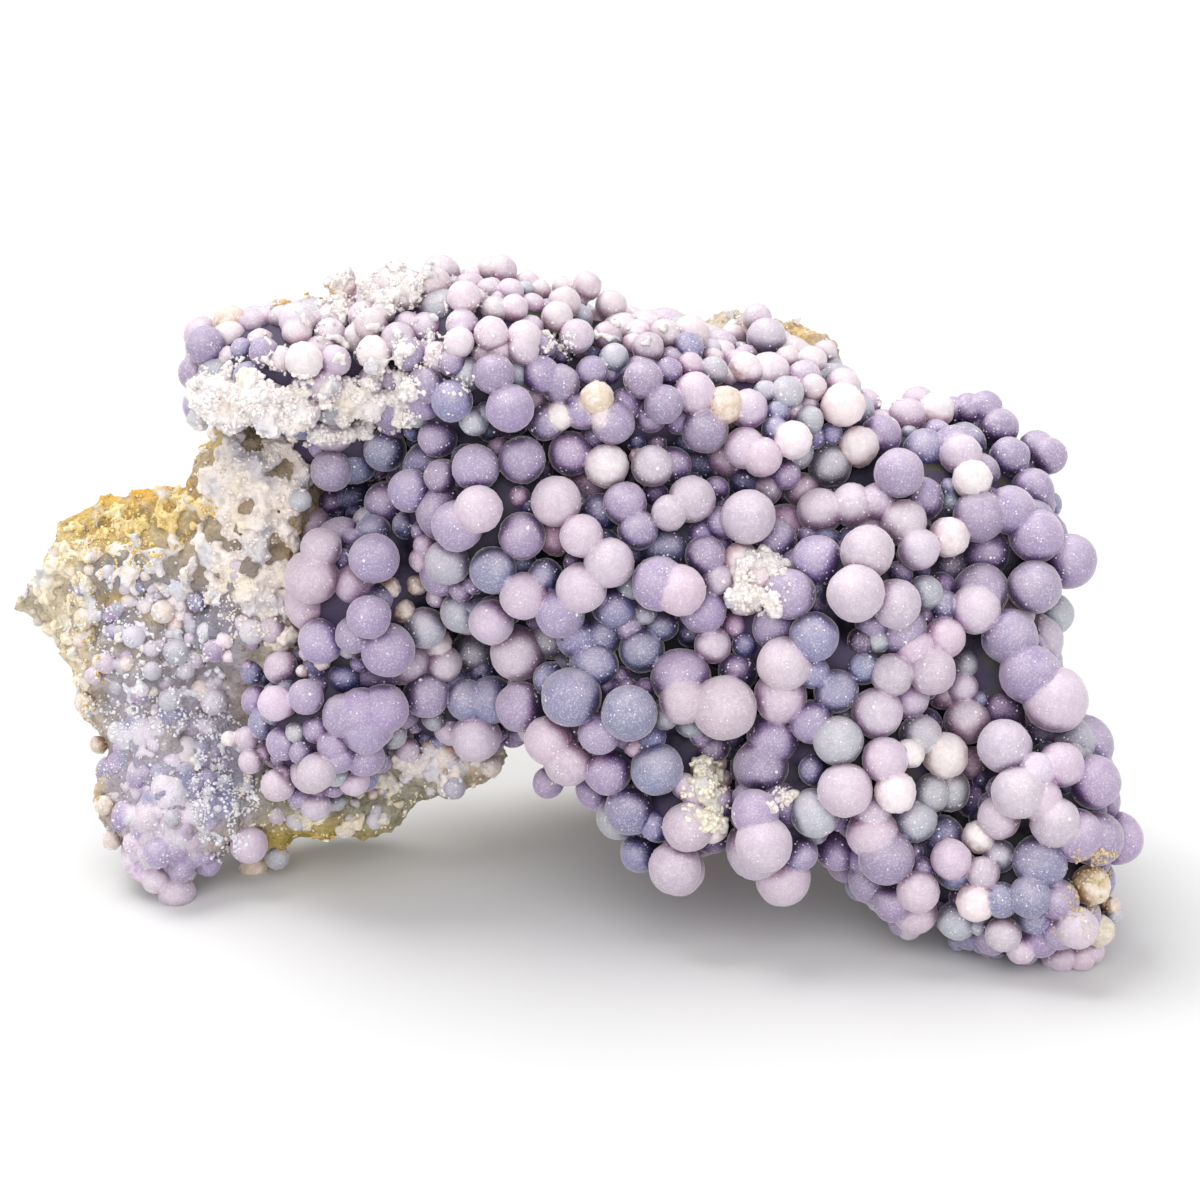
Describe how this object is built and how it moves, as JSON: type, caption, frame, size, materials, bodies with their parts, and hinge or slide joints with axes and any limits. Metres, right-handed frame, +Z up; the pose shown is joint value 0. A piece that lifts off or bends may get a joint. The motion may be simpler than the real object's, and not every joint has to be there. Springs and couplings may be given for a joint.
{
  "type": "grape agate",
  "caption": "Grape agate: violet and grey-blue chalcedony balls crowded over the front of a loose piece of cream and ochre host rock that stands on an open arch.",
  "frame": {"origin": "on the ground, under the middle of the specimen's box", "axes": "+X along the length, to the right seen from the ball-covered front; +Y from the front to the back; +Z up"},
  "size_m": [0.1802, 0.083, 0.1007],
  "materials": {
    "chalcedony": "waxy and slightly sugary, a little translucent",
    "host_rock": "rough, chalky and stained with ochre"
  },
  "bodies": {
    "root": {"agate_grapes": "chalcedony", "host_rock": "host_rock"}
  },
  "joints": []
}
